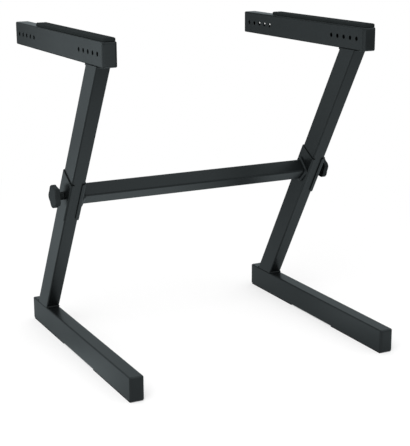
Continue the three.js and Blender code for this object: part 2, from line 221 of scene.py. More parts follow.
class StandStage(bpy.types.PropertyGroup):
    """Studio round the stand."""

    camera_place: location("Camera place", "Where the camera stands", (-1.1774, -2.3736, 0.9482))
    camera_yaw: angle("Camera yaw", "Turn of the camera to the right of +Y", 26.5755)
    camera_pitch: angle("Camera pitch", "Tilt of the camera below the horizon", 14.4829)
    camera_roll: angle("Camera roll", "Clockwise turn of the picture", 0.336)
    lens: number("Lens", "Focal length on a sensor 36 mm wide", 104.036, subtype="DISTANCE_CAMERA")
    shift: bpy.props.FloatVectorProperty(
        name="Shift", description="Shift of the picture in shares of its width", size=2,
        default=(0.0017, 0.0005),
    )
    floor: colour("Floor", "Pale floor, as it lights the stand from below", (0.55, 0.57, 0.58))
    floor_reach: distance("Floor reach", "From the stand to the floor's edges", 40.0)
    floor_depth: distance("Floor depth", "How far the floor lies below the stand", 0.0002)
    shadow: number("Floor shadow", "Share of the near floor's tone that comes from the lamps", 0.5)
    cast: colour("Light cast", "Cool cast of what the stand's gloss shows", (0.83, 0.96, 1.0))
    # near_tone, dim and bright are painted light and shade in the floor's tone, as the stand's gloss shows it
    near_tone: number("Near floor", "Brightness of the floor beside the stand in its gloss", 0.5)
    dim: number("Dim floor", "Brightness of the floor behind the stand in its gloss", 0.0)
    bright: number("Bright floor", "Brightness of the floor to the left in the stand's gloss", 1.2)
    left_horizon: number("Left horizon", "Share of the horizon's light that is left to the left", 0.15)
    level: number("Fill", "Strength of the even fill light", 0.85)
    key: number("Key", "Power of the soft key lamp", 110.0, unit="POWER")
    key_size: distance("Key size", "Diameter of the key lamp", 3.0)
    key_place: location("Key place", "Where the key lamp hangs", (-2.2, -2.6, 3.6))
    key_aim: location("Key aim", "What the key lamp points at", (0.0, 0.0, 0.3))
    card_side: distance("Card side", "Side of the white card", 1.2)
    card_place: location("Card place", "Middle of the white card", (-1.24, 1.03, 0.90))
    card_turn: angle("Card turn", "Turn of the white card round Z", 26.5)
    card_light: number("Card light", "Strength of the white card's light", 0.85)


GROUPS = {
    "stand_tubes": StandTubes,
    "stand_welds": StandWelds,
    "stand_caps": StandCaps,
    "stand_pads": StandPads,
    "stand_clamps": StandClamps,
    "stand_knobs": StandKnobs,
    "stand_finishes": StandFinishes,
    "stand_stage": StandStage,
}


# Node trees

class Wire:
    """A node's output, with the arithmetic that the trees use."""

    def __init__(self, tree, socket):
        self.tree = tree
        self.socket = socket

    def __add__(self, other):
        return self.tree.maths("ADD", self, other)

    def __radd__(self, other):
        return self.tree.maths("ADD", other, self)

    def __sub__(self, other):
        return self.tree.maths("SUBTRACT", self, other)

    def __rsub__(self, other):
        return self.tree.maths("SUBTRACT", other, self)

    def __mul__(self, other):
        return self.tree.maths("MULTIPLY", self, other)

    def __rmul__(self, other):
        return self.tree.maths("MULTIPLY", other, self)

    def __truediv__(self, other):
        return self.tree.maths("DIVIDE", self, other)

    def __rtruediv__(self, other):
        return self.tree.maths("DIVIDE", other, self)


class Tree:
    """A shader, world or geometry node tree, whose nodes all come from one method."""

    def __init__(self, tree):
        self.tree = tree
        tree.nodes.clear()

    def node(self, kind, settings=None, inputs=None, output=0):
        """Makes a node, sets it up, feeds its inputs and returns one of its outputs as a Wire."""
        made = self.tree.nodes.new(kind)
        for name, value in (settings or {}).items():
            if name == "stops":
                self.set_stops(made.color_ramp, value)
            else:
                setattr(made, name, value)
        for key, value in (inputs or {}).items():
            if isinstance(value, Wire):
                self.tree.links.new(value.socket, made.inputs[key])
            else:
                made.inputs[key].default_value = value
        return Wire(self, made.outputs[output]) if made.outputs else None

    @staticmethod
    def set_stops(ramp, stops):
        """Gives a colour ramp grey stops: pairs of place and brightness."""
        while len(ramp.elements) < len(stops):
            ramp.elements.new(1.0)
        for element, (place, grey) in zip(ramp.elements, stops):
            element.position = place
            element.color = (grey, grey, grey, 1.0)

    def maths(self, operation, *values):
        return self.node("ShaderNodeMath", {"operation": operation}, dict(enumerate(values)))

    def vector(self, **parts):
        """A vector from its parts X, Y and Z, of which those left out are 0."""
        return self.node("ShaderNodeCombineXYZ", inputs=parts)

    def join(self, *parts):
        """The geometry of several wires together."""
        joined = self.node("GeometryNodeJoinGeometry")
        for part in parts:
            self.tree.links.new(part.socket, joined.socket.node.inputs["Geometry"])
        return joined

    def other(self, wire, output):
        """Another output of the node that a wire comes from."""
        return Wire(self, wire.socket.node.outputs[output])


def material_tree(name):
    """A new material and its empty tree."""
    material = bpy.data.materials.new(name)
    material.use_nodes = True
    return material, Tree(material.node_tree)


def finish_tree(name):
    """A new material, its tree and its object coordinates."""
    material, tree = material_tree(name)
    return material, tree, tree.node("ShaderNodeTexCoord", output="Object")


def noise(tree, place, scale, detail=2.0, roughness=0.5):
    """Noise over a surface, from 0 to 1, with a scale in cells a metre."""
    return tree.node(
        "ShaderNodeTexNoise",
        inputs={"Vector": place, "Scale": scale, "Detail": detail, "Roughness": roughness},
    )


def colour_mix(tree, mask, first, second):
    """A colour that goes from the first to the second as the mask goes from 0 to 1."""
    return tree.node("ShaderNodeMix", {"data_type": "RGBA"}, {"Factor": mask, 6: first, 7: second}, output=2)


def tinted(tree, base, mask, share):
    """A colour that brightens by a share of itself to either side as the mask goes from 0 to 1."""
    darker = tuple(value * (1 - share) for value in base) + (1.0,)
    lighter = tuple(value * (1 + share) for value in base) + (1.0,)
    return colour_mix(tree, mask, darker, lighter)


def bump(tree, height, strength, depth, normal=None):
    """A normal from a height and its depth in metres, on top of another normal if one is given."""
    inputs = {"Height": height, "Strength": strength, "Distance": depth}
    if normal is not None:
        inputs["Normal"] = normal
    return tree.node("ShaderNodeBump", inputs=inputs)


def surface(tree, inputs):
    """Ends a material with one principled surface."""
    shader = tree.node("ShaderNodeBsdfPrincipled", inputs=inputs)
    tree.node("ShaderNodeOutputMaterial", inputs={"Surface": shader})


def gloss_coat(base):
    """Gloss black powder coat: a soft orange peel, fine specks and a faint unevenness of gloss."""
    material, tree, place = finish_tree("gloss_coat")
    patches = noise(tree, place, scale=9.0, detail=3.0)
    peel = noise(tree, place, scale=420.0, detail=1.0)
    specks = noise(tree, place, scale=2600.0, detail=2.0)
    normal = bump(tree, peel, strength=0.10, depth=0.0003)
    normal = bump(tree, specks, strength=0.06, depth=0.00005, normal=normal)
    surface(tree, {
        "Base Color": tinted(tree, base, patches, share=0.16),
        "Roughness": 0.28 + patches * 0.08 + specks * 0.03,
        "IOR": 1.4,
        "Normal": normal,
    })
    return material


def moulded_plastic(base):
    """Moulded plastic with a spark-eroded grain, a little more polished in some patches than in others."""
    material, tree, place = finish_tree("moulded_plastic")
    patches = noise(tree, place, scale=30.0, detail=3.0)
    grain = noise(tree, place, scale=1800.0, detail=3.0, roughness=0.6)
    surface(tree, {
        "Base Color": tinted(tree, base, patches, share=0.2),
        "Roughness": 0.34 + patches * 0.10 + grain * 0.08,
        "IOR": 1.38,
        "Specular IOR Level": 0.10,
        "Normal": bump(tree, grain, strength=0.18, depth=0.00008),
    })
    return material


def cap_plastic(base):
    """Smooth moulded plastic of the end caps, a little glossier than the knobs."""
    material, tree, place = finish_tree("cap_plastic")
    clouds = noise(tree, place, scale=40.0, detail=3.0)
    grain = noise(tree, place, scale=1300.0, detail=2.0, roughness=0.6)
    surface(tree, {
        "Base Color": tinted(tree, base, clouds, share=0.15),
        "Roughness": 0.26 + clouds * 0.10 + grain * 0.05,
        "IOR": 1.45,
        "Specular IOR Level": 0.4,
        "Normal": bump(tree, grain, strength=0.12, depth=0.00006),
    })
    return material


def soft_rubber(base):
    """Matt rubber with a fine grain and a little dust in it."""
    material, tree, place = finish_tree("soft_rubber")
    patches = noise(tree, place, scale=22.0, detail=4.0)
    grain = noise(tree, place, scale=2400.0, detail=2.0)
    surface(tree, {
        "Base Color": tinted(tree, base, patches * 0.6 + grain * 0.4, share=0.3),
        "Roughness": 0.6 + patches * 0.16,
        "IOR": 1.2,
        "Specular IOR Level": 0.3,
        "Normal": bump(tree, grain, strength=0.3, depth=0.0001),
    })
    return material


def zinc_plate(base):
    """Bright zinc plating with fine turning marks across the axis."""
    material, tree, place = finish_tree("zinc_plate")
    stretched = tree.node("ShaderNodeMapping", inputs={"Vector": place, "Scale": (1.0, 0.04, 0.04)})
    marks = noise(tree, stretched, scale=5200.0, detail=2.0)
    clouds = noise(tree, place, scale=160.0, detail=3.0)
    surface(tree, {
        "Base Color": tinted(tree, base, clouds, share=0.12),
        "Metallic": 1.0,
        "Roughness": 0.24 + clouds * 0.16,
        "Normal": bump(tree, marks, strength=0.25, depth=0.00005),
    })
    return material


FINISHES = {
    "powder_coat": (gloss_coat, "coat"),
    "black_plastic": (moulded_plastic, "plastic"),
    "cap_plastic": (cap_plastic, "cap"),
    "black_rubber": (soft_rubber, "rubber"),
    "zinc_steel": (zinc_plate, "zinc"),
}


def finish(name):
    """The material of a finish, made the first time that it is asked for."""
    make, colour_name = FINISHES[name]
    if make.__name__ in bpy.data.materials:
        return bpy.data.materials[make.__name__]
    return make(tuple(getattr(bpy.context.scene.stand_finishes, colour_name)))


# Geometry node trees

def geometry_tree(name, inputs):
    """A new geometry tree with named inputs, a Geometry and a Material input and a Geometry output."""
    group = bpy.data.node_groups.new(name, "GeometryNodeTree")
    group.interface.new_socket("Geometry", in_out="INPUT", socket_type="NodeSocketGeometry")
    group.interface.new_socket("Geometry", in_out="OUTPUT", socket_type="NodeSocketGeometry")
    for label, kind in {**inputs, "Material": "Material"}.items():
        group.interface.new_socket(label, in_out="INPUT", socket_type=f"NodeSocket{kind}")
    tree = Tree(group)
    given = tree.node("NodeGroupInput")
    return group, tree, lambda label: tree.other(given, label)


def end_tree(tree, geometry, given):
    """Ends a geometry tree with real geometry in the given material."""
    real = tree.node("GeometryNodeRealizeInstances", inputs={"Geometry": geometry})
    painted = tree.node("GeometryNodeSetMaterial", inputs={"Geometry": real, "Material": given("Material")})
    tree.node("NodeGroupOutput", inputs={"Geometry": painted})


def run_tree(piece, group, material, values):
    """Runs a geometry tree on a piece with a material and these values and keeps the result as its mesh."""
    values = {**values, "Material": material}
    modifier = piece.modifiers.new(group.name, "NODES")
    modifier.node_group = group
    for item in group.interface.items_tree:
        if item.item_type == "SOCKET" and item.in_out == "INPUT" and item.name in values:
            modifier[item.identifier] = values[item.name]
    keep_modified(piece)


def keep_modified(piece):
    """Replaces a piece's mesh by its evaluated one, takes its modifiers off and softens it."""
    bpy.context.view_layer.update()
    evaluated = piece.evaluated_get(bpy.context.evaluated_depsgraph_get())
    mesh = bpy.data.meshes.new_from_object(evaluated)
    piece.modifiers.clear()
    old = piece.data
    piece.data = mesh
    mesh.name = piece.name
    bpy.data.meshes.remove(old)
    soften(piece)


def bead_tree():
    """Sweeps a rippled weld bead along a path of edges."""
    group, tree, given = geometry_tree("weld_bead", {
        "Radius": "Float", "Ripple": "Float", "Ripple share": "Float",
    })
    path = tree.node("GeometryNodeMeshToCurve", inputs={"Mesh": given("Geometry")})
    fine = tree.node("GeometryNodeResampleCurve", {"mode": "LENGTH"}, {
        "Curve": path, "Length": given("Ripple") / RIPPLE_STEPS,
    })
    along = tree.node("GeometryNodeSplineParameter", output="Length")
    wave = tree.maths("ABSOLUTE", tree.maths("SINE", along / given("Ripple") * math.pi))
    scale = 1.0 - given("Ripple share") + given("Ripple share") * 2.0 * wave
    sized = tree.node("GeometryNodeSetCurveRadius", inputs={"Curve": fine, "Radius": scale})
    ring = tree.node(
        "GeometryNodeCurvePrimitiveCircle", inputs={"Resolution": BEAD_SIDES, "Radius": given("Radius")}
    )
    swept = tree.node(
        "GeometryNodeCurveToMesh", inputs={"Curve": sized, "Profile Curve": ring, "Fill Caps": True}
    )
    end_tree(tree, swept, given)
    return group


def hole_tree():
    """Drills two rows of cross holes in an arm, one from each end."""
    group, tree, given = geometry_tree("arm_holes", {
        "Count": "Int", "Pitch": "Float", "Radius": "Float", "Length": "Float", "Front": "Vector",
        "Rear": "Vector",
    })
    drill = tree.node("GeometryNodeMeshCylinder", inputs={
        "Vertices": HOLE_SIDES, "Radius": given("Radius"), "Depth": given("Length"),
    })
    cutters = []
    for start, direction in (("Front", 1.0), ("Rear", -1.0)):
        row = tree.node("GeometryNodeMeshLine", inputs={
            "Count": given("Count"), "Start Location": given(start),
            "Offset": tree.vector(Y=given("Pitch") * direction),
        })
        cutters.append(tree.node("GeometryNodeInstanceOnPoints", inputs={
            "Points": row, "Instance": drill, "Rotation": (0.0, QUARTER, 0.0),
        }))
    bored = given("Geometry")
    for cutter in cutters:
        real = tree.node("GeometryNodeRealizeInstances", inputs={"Geometry": cutter})
        bored = tree.node(
            "GeometryNodeMeshBoolean", {"operation": "DIFFERENCE", "solver": "EXACT"},
            {"Mesh 1": bored, "Mesh 2": real},
        )
    end_tree(tree, bored, given)
    return group


def rib_tree():
    """Lays low ribs side by side along a pad, next to the pad's own mesh."""
    group, tree, given = geometry_tree("pad_ribs", {
        "Count": "Int", "Pitch": "Float", "Width": "Float", "Height": "Float", "Length": "Float",
        "Start": "Vector",
    })
    profile = tree.node("GeometryNodeCurvePrimitiveCircle", inputs={"Resolution": RIB_SIDES, "Radius": 1.0})
    line = tree.node("GeometryNodeCurvePrimitiveLine", inputs={
        "Start": (0.0, 0.0, 0.0), "End": tree.vector(Y=given("Length")),
    })
    bar = tree.node(
        "GeometryNodeCurveToMesh", inputs={"Curve": line, "Profile Curve": profile, "Fill Caps": True}
    )
    shape = tree.vector(X=given("Width") / 2.0, Y=1.0, Z=given("Height"))
    flat = tree.node("GeometryNodeTransform", inputs={"Geometry": bar, "Scale": shape})
    row = tree.node("GeometryNodeMeshLine", inputs={
        "Count": given("Count"), "Start Location": given("Start"), "Offset": tree.vector(X=given("Pitch")),
    })
    ribs = tree.node("GeometryNodeInstanceOnPoints", inputs={"Points": row, "Instance": flat})
    end_tree(tree, tree.join(ribs, given("Geometry")), given)
    return group


def knob_tree():
    """Draws a turned knob in between its lobes and sets ribs round the inside of its head."""
    group, tree, given = geometry_tree("knob_lobes", {
        "Lobes": "Int", "Depth": "Float", "Turn": "Float", "Inner": "Float", "Outer": "Float",
        "Rib length": "Float", "Rib thickness": "Float", "Rib height": "Float", "Rib place": "Float",
    })
    point = tree.node("GeometryNodeInputPosition")
    x = tree.node("ShaderNodeSeparateXYZ", inputs={"Vector": point}, output="X")
    y = tree.other(x, "Y")
    radius = tree.maths("SQRT", x * x + y * y)
    bearing = tree.maths("ARCTAN2", y, x)
    valley = (1.0 - tree.maths("COSINE", (bearing - given("Turn")) * given("Lobes"))) / 2.0
    reach = (radius - given("Inner")) / (given("Outer") - given("Inner"))
    weight = tree.node("ShaderNodeClamp", inputs={"Value": reach})
    weight = weight * weight * (3.0 - 2.0 * weight)
    drawn = 1.0 - given("Depth") * weight * valley / tree.maths("MAXIMUM", radius, given("Inner"))
    moved = tree.vector(X=x * drawn, Y=y * drawn, Z=tree.other(x, "Z"))
    lobed = tree.node("GeometryNodeSetPosition", inputs={"Geometry": given("Geometry"), "Position": moved})

    circle = tree.node("GeometryNodeMeshCircle", inputs={"Vertices": given("Lobes"), "Radius": RIB_MEETING})
    block = tree.node("GeometryNodeMeshCube", inputs={
        "Size": tree.vector(X=given("Rib length"), Y=given("Rib thickness"), Z=given("Rib height")),
    })
    offset = tree.vector(X=given("Rib length") / 2.0, Z=given("Rib place"))
    rib = tree.node("GeometryNodeTransform", inputs={"Geometry": block, "Translation": offset})
    index = tree.node("GeometryNodeInputIndex")
    turn = given("Turn") + (index + 0.5) * (2.0 * math.pi) / given("Lobes")
    ribs = tree.node("GeometryNodeInstanceOnPoints", inputs={
        "Points": circle, "Instance": rib, "Rotation": tree.vector(Z=turn),
    })
    end_tree(tree, tree.join(ribs, lobed), given)
    return group


# Outlines and lofts

def outline(arcs, ease=TUBE_EASE):
    """Closed outline through arcs joined by straight lines.

    An arc is (centre x, centre y, radius, first angle, last angle, steps). A point close before and after
    each arc keeps the straight lines flat in smooth shading.
    """
    points = []
    for centre_x, centre_y, radius, first, last, steps in arcs:
        way = math.copysign(1, last - first)
        for i in range(steps + 1):
            turn = first + (last - first) * i / steps
            point = Vector((centre_x + radius * math.cos(turn), centre_y + radius * math.sin(turn)))
            tangent = way * ease * Vector((-math.sin(turn), math.cos(turn)))
            if i == 0:
                points.append(point - tangent)
            points.append(point)
            if i == steps:
                points.append(point + tangent)
    return points


def rounded_rectangle(width, height, radius, steps=10):
    x = width / 2 - radius
    y = height / 2 - radius
    corners = ((x, y), (-x, y), (-x, -y), (x, -y))
    return outline([
        (*corner, radius, i * QUARTER, (i + 1) * QUARTER, steps) for i, corner in enumerate(corners)
    ])


def linked(name, data):
    """A new object in the scene."""
    made = bpy.data.objects.new(name, data)
    bpy.context.scene.collection.objects.link(made)
    return made


def new_piece(name, points, faces, material):
    """A piece at the origin from its points and faces, with outward faces and smooth rounded stretches."""
    mesh = bpy.data.meshes.new(name)
    mesh.from_pydata([tuple(point) for point in points], [], faces)
    shape = bmesh.new()
    shape.from_mesh(mesh)
    bmesh.ops.recalc_face_normals(shape, faces=shape.faces)
    shape.to_mesh(mesh)
    shape.free()
    mesh.materials.append(material)
    piece = linked(name, mesh)
    soften(piece)
    return piece


def soften(piece):
    """Smooth shading on the rounded stretches of a piece, with its real edges kept sharp."""
    piece.data.polygons.foreach_set("use_smooth", [True] * len(piece.data.polygons))
    piece.data.set_sharp_from_angle(angle=SMOOTH_ANGLE)


def loft(name, rings, material, wrap=False):
    """Skin through rings of equally many points. The end rings are filled, unless the skin wraps round."""
    count = len(rings[0])
    points = [point for ring in rings for point in ring]
    spans = len(rings) if wrap else len(rings) - 1
    faces = []
    for level in range(spans):
        low = level * count
        high = (level + 1) % len(rings) * count
        for i in range(count):
            after = (i + 1) % count
            faces.append((low + i, low + after, high + after, high + i))
    if not wrap:
        faces.append(tuple(reversed(range(count))))
        faces.append(tuple(range(len(points) - count, len(points))))
    return new_piece(name, points, faces, material)


def along_y(points, x, y, z):
    """An outline of width and height, set across the Y axis at a place."""
    return [Vector((x + point.x, y, z + point.y)) for point in points]


def box_of(node, drop=0.0):
    """Lowest and highest corner and middle of a CAD node's box, its underside lowered by a drop."""
    low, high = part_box(node)
    low.z -= drop
    return low, high, (low + high) / 2


def middle(node):
    return box_of(node)[2]


def leg_middle(side):
    """The middle of a leg, on the crossbar's axis."""
    bar = middle("crossbar_tube")
    return Vector((middle(f"{side}_leg_tube").x, bar.y, bar.z))


def place(piece, matrix):
    """Moves a piece's mesh by a matrix and leaves its object at the origin."""
    piece.data.transform(matrix)
    piece.data.update()
    return piece


def settle(piece, body, slot, *nodes):
    """Gives a finished piece its body and hides the CAD nodes that it stands for; its slot is not used."""
    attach(piece, body)
    if nodes:
        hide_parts(*nodes)
    return piece


def bore(piece, centre, diameter, length):
    """Drills a round hole along X through a piece."""
    mesh = bpy.data.meshes.new("drill")
    shape = bmesh.new()
    bmesh.ops.create_cone(
        shape, cap_ends=True, segments=HOLE_SIDES, radius1=diameter / 2, radius2=diameter / 2, depth=length,
        matrix=Matrix.Translation(centre) @ Matrix.Rotation(QUARTER, 4, "Y"),
    )
    shape.to_mesh(mesh)
    shape.free()
    drill = linked("drill", mesh)
    modifier = piece.modifiers.new("bore", "BOOLEAN")
    modifier.operation = "DIFFERENCE"
    modifier.solver = "EXACT"
    modifier.object = drill
    keep_modified(piece)
    bpy.data.objects.remove(drill)
    bpy.data.meshes.remove(mesh)


# Pieces

class StandOperator:
    """What every operator of the stand shares."""

    bl_options = {"REGISTER"}


def foot_drop(part, tubes):
    """How much lower the underside of a foot or an arm lies than its solid's."""
    return tubes.foot_drop if part == "foot" else 0.0


def tube_skin(name, size, wall, corner, ends, ring):
    """Inner and outer skin of an open tube. The ring sets an outline across the tube at one of its ends."""
    outside = rounded_rectangle(*size, corner)
    inside = rounded_rectangle(*(length - 2 * wall for length in size), corner / 2)
    first, last = ends
    rings = [ring(outside, first), ring(outside, last), ring(inside, last), ring(inside, first)]
    return loft(name, rings, finish("powder_coat"), wrap=True)


class STAND_OT_feet_and_arms(StandOperator, bpy.types.Operator):
    """Foot and arm tubes, the arms with their rows of cross holes"""

    bl_idname = "stand.feet_and_arms"
    bl_label = "Feet and arms"

    def execute(self, context):
        tubes = context.scene.stand_tubes
        holes = hole_tree()
        for side in SIDES:
            for part in ("foot", "arm"):
                node = f"{side}_{part}_tube"
                tube = self.tube(f"{side}_{part}", node, foot_drop(part, tubes), tubes)
                if part == "arm":
                    self.drill(tube, side, tubes, holes)
                settle(tube, FRAME_BODY, "powder_coat", node)
        return {"FINISHED"}

    @staticmethod
    def tube(name, node, drop, tubes):
        low, high, centre = box_of(node, drop)
        return tube_skin(
            name, (high.x - low.x, high.z - low.z), tubes.wall, tubes.corner, (low.y, high.y),
            lambda points, y: along_y(points, centre.x, y, centre.z),
        )

    @staticmethod
    def drill(tube, side, tubes, holes):
        front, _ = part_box(f"{side}_arm_front_cap")
        _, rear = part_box(f"{side}_arm_rear_cap")
        low, high, centre = box_of(f"{side}_arm_tube")
        run_tree(tube, holes, finish("powder_coat"), {
            "Count": tubes.hole_count,
            "Pitch": tubes.hole_pitch,
            "Radius": tubes.hole / 2,
            "Length": 2 * (high.x - low.x),
            "Front": (centre.x, front.y + tubes.hole_inset, centre.z),
            "Rear": (centre.x, rear.y - tubes.hole_inset, centre.z),
        })


class STAND_OT_legs(StandOperator, bpy.types.Operator):
    """Leaning legs, cut level where they meet foot and arm"""

    bl_idname = "stand.legs"
    bl_label = "Legs"

    def execute(self, context):
        tubes = context.scene.stand_tubes
        for side in SIDES:
            node = f"{side}_leg_tube"
            low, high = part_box(node)
            size = leg_section(side)
            leg = tube_skin(
                f"{side}_leg", size, tubes.wall, tubes.corner, (low.z, high.z),
                lambda points, z: level_ring(side, points, z, tubes.lean),
            )
            bore(leg, leg_middle(side), tubes.bolt_hole, 2 * size[0])
            settle(leg, FRAME_BODY, "powder_coat", node)
        return {"FINISHED"}


def leg_section(side):
    """Width and depth of a leg's tube."""
    leg_low, leg_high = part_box(f"{side}_leg_tube")
    foot_low, foot_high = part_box(f"{side}_foot_tube")
    return leg_high.x - leg_low.x, foot_high.z - foot_low.z


def leg_axis(side, z, lean):
    """Where a leg's middle line passes a height."""
    centre = leg_middle(side)
    return centre.x, centre.y - (z - centre.z) * math.tan(lean)


def level_ring(side, points, z, lean, spread=0.0):
    """The outline of a leg where a level plane cuts it at a height, pushed outward by a spread."""
    x, y = leg_axis(side, z, lean)
    ring = []
    for point in points:
        flat = Vector((point.x, point.y / math.cos(lean)))
        away = flat.normalized() * spread
        ring.append(Vector((x + flat.x + away.x, y + flat.y + away.y, z)))
    return ring


class STAND_OT_crossbar(StandOperator, bpy.types.Operator):
    """Square crossbar with one edge up"""

    bl_idname = "stand.crossbar"
    bl_label = "Crossbar"

    def execute(self, context):
        tubes = context.scene.stand_tubes
        low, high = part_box("crossbar_tube")
        size = (tubes.bar_side, tubes.bar_side)
        bar = tube_skin("crossbar", size, tubes.bar_wall, tubes.bar_corner, (low.x, high.x), across_x)
        settle(bar, FRAME_BODY, "powder_coat", "crossbar_tube")
        return {"FINISHED"}


def across_x(points, x):
    """An outline round the crossbar's axis, turned with one edge up and set across the X axis."""
    centre = middle("crossbar_tube")
    turned = [BAR_TURN @ point for point in points]
    return [Vector((x, centre.y + point.x, centre.z + point.y)) for point in turned]


class STAND_OT_welds(StandOperator, bpy.types.Operator):
    """Rippled weld beads at the legs' ends and round the crossbar's ends"""

    bl_idname = "stand.welds"
    bl_label = "Welds"

    def execute(self, context):
        tubes = context.scene.stand_tubes
        welds = context.scene.stand_welds
        tree = bead_tree()
        for side, outward in SIDES.items():
            paths = self.leg_paths(side, tubes, welds)
            self.bead(f"{side}_leg_welds", paths, tree, welds, welds.radius, closed=False)
            ring = self.bar_path(outward, tubes, welds)
            self.bead(f"{side}_crossbar_weld", [ring], tree, welds, welds.bar_radius, closed=True)
        return {"FINISHED"}

    @staticmethod
    def leg_paths(side, tubes, welds):
        """Paths across the front and the rear of the leg, at the foot and at the arm."""
        low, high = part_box(f"{side}_leg_tube")
        width, depth = leg_section(side)
        ring = rounded_rectangle(width, depth, tubes.corner)
        limit = width / 2 - tubes.corner * BEAD_END_SHARE
        sunk = welds.radius * SUNK_SHARE
        paths = []
        for z in (low.z + sunk, high.z - sunk):
            level = level_ring(side, ring, z, tubes.lean, sunk)
            x, y = leg_axis(side, z, tubes.lean)
            for end in ENDS.values():
                half = [p for p in level if (p.y - y) * end > 0 and abs(p.x - x) < limit]
                paths.append(sorted(half, key=lambda p: p.x))
        return paths

    @staticmethod
    def bar_path(outward, tubes, welds):
        """A path round one of the crossbar's ends."""
        low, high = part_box("crossbar_tube")
        sunk = welds.bar_radius * SUNK_SHARE
        side = tubes.bar_side + 2 * sunk
        return across_x(
            rounded_rectangle(side, side, tubes.bar_corner), high.x - sunk if outward > 0 else low.x + sunk
        )

    @staticmethod
    def bead(name, paths, tree, welds, radius, closed):
        """Makes a piece of the beads along some paths."""
        points, edges = [], []
        for path in paths:
            start = len(points)
            points.extend(path)
            edges.extend((start + i, start + i + 1) for i in range(len(path) - 1))
            if closed:
                edges.append((start + len(path) - 1, start))
        mesh = bpy.data.meshes.new(name)
        mesh.from_pydata([tuple(point) for point in points], edges, [])
        piece = linked(name, mesh)
        run_tree(piece, tree, finish("powder_coat"), {
            "Radius": radius,
            "Ripple": welds.ripple,
            "Ripple share": welds.ripple_share,
        })
        settle(piece, FRAME_BODY, "powder_coat")


class STAND_OT_end_caps(StandOperator, bpy.types.Operator):
    """Plastic end caps with rounded faces"""

    bl_idname = "stand.end_caps"
    bl_label = "End caps"

    def execute(self, context):
        tubes = context.scene.stand_tubes
        caps = context.scene.stand_caps
        for side in SIDES:
            for part in ("foot", "arm"):
                for end, way in ENDS.items():
                    node = f"{side}_{part}_{end}_cap"
                    cap = self.cap(node, way, foot_drop(part, tubes), tubes, caps)
                    settle(cap, FRAME_BODY, "black_plastic", node)
        return {"FINISHED"}

    @staticmethod
    def cap(node, way, drop, tubes, caps):
        """A cap from its plug to its face, which draws in round its edge."""
        low, high, centre = box_of(node, drop)
        width, depth = high.x - low.x, high.z - low.z
        face = low.y if way < 0 else high.y

        def ring(inset, back, corner=tubes.corner):
            points = rounded_rectangle(width - 2 * inset, depth - 2 * inset, corner)
            return along_y(points, centre.x, face - way * back, centre.z)

        plug_inset = tubes.wall + tubes.wall / 2
        rings = [
            ring(plug_inset, caps.thickness + caps.plug), ring(plug_inset, caps.thickness),
            ring(CAP_EDGE, caps.thickness), ring(0.0, caps.thickness - CAP_EDGE),
        ]
        for i in range(BEND_STEPS + 1):
            turn = QUARTER * i / BEND_STEPS
            inset = caps.rounding * (1 - math.cos(turn))
            back = caps.rounding_depth * (1 - math.sin(turn))
            rings.append(ring(inset, back, tubes.corner + inset * CAP_CORNER_SHARE))
        rings.append(ring(caps.rounding + CAP_FLAT, 0.0, tubes.corner + caps.rounding * CAP_CORNER_SHARE))
        return loft(f"{node}_face", rings, finish("cap_plastic"))


